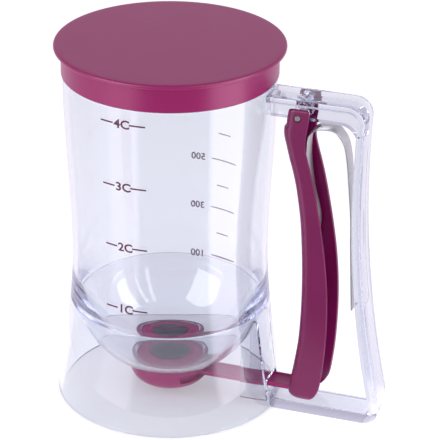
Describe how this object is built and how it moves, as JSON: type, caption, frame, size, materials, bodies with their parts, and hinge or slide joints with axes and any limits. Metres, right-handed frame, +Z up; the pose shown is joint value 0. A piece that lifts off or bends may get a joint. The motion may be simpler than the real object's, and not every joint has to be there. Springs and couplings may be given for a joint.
{
  "type": "squeeze-handle batter dispenser",
  "caption": "Clear waisted plastic jug with a bowl floor and spout, a press-on lid, and a sprung trigger in the handle that swings a cup valve off the spout.",
  "frame": {"origin": "middle of the jug's round foot, on the table", "axes": "+Z up along the jug's axis; +X from the jug towards the handle; +Y along the hinge pin"},
  "size_m": [0.1689, 0.1134, 0.186],
  "materials": {
    "clear_plastic": "clear gloss with a cool lavender tint",
    "plum_plastic": "smooth semi-gloss",
    "spring_steel": "satin rolled strip",
    "pin_steel": "satin",
    "grey_silicone": "matt"
  },
  "bodies": {
    "jug": {"jug_body": "clear_plastic", "handle_frame": "clear_plastic", "hinge_pin": "pin_steel", "leaf_spring": "spring_steel"},
    "trigger": {"trigger": "plum_plastic", "valve_arm": "plum_plastic", "valve_cup": "plum_plastic", "valve_seal": "grey_silicone"},
    "lid": {"lid": "plum_plastic"}
  },
  "joints": [
    {"name": "trigger_squeeze", "type": "hinge", "parent": "jug", "child": "trigger", "pos_m": [0.0672, 0, 0.1597], "axis": [0, -1, 0], "range_deg": [0, 6], "stiffness_Nm_per_rad": 6, "springref_deg": -5.73, "deforming": ["leaf_spring"]},
    {"name": "lid_lift", "type": "slide", "parent": "jug", "child": "lid", "axis": [0, 0, 1], "range_m": [0, 0.05]}
  ]
}
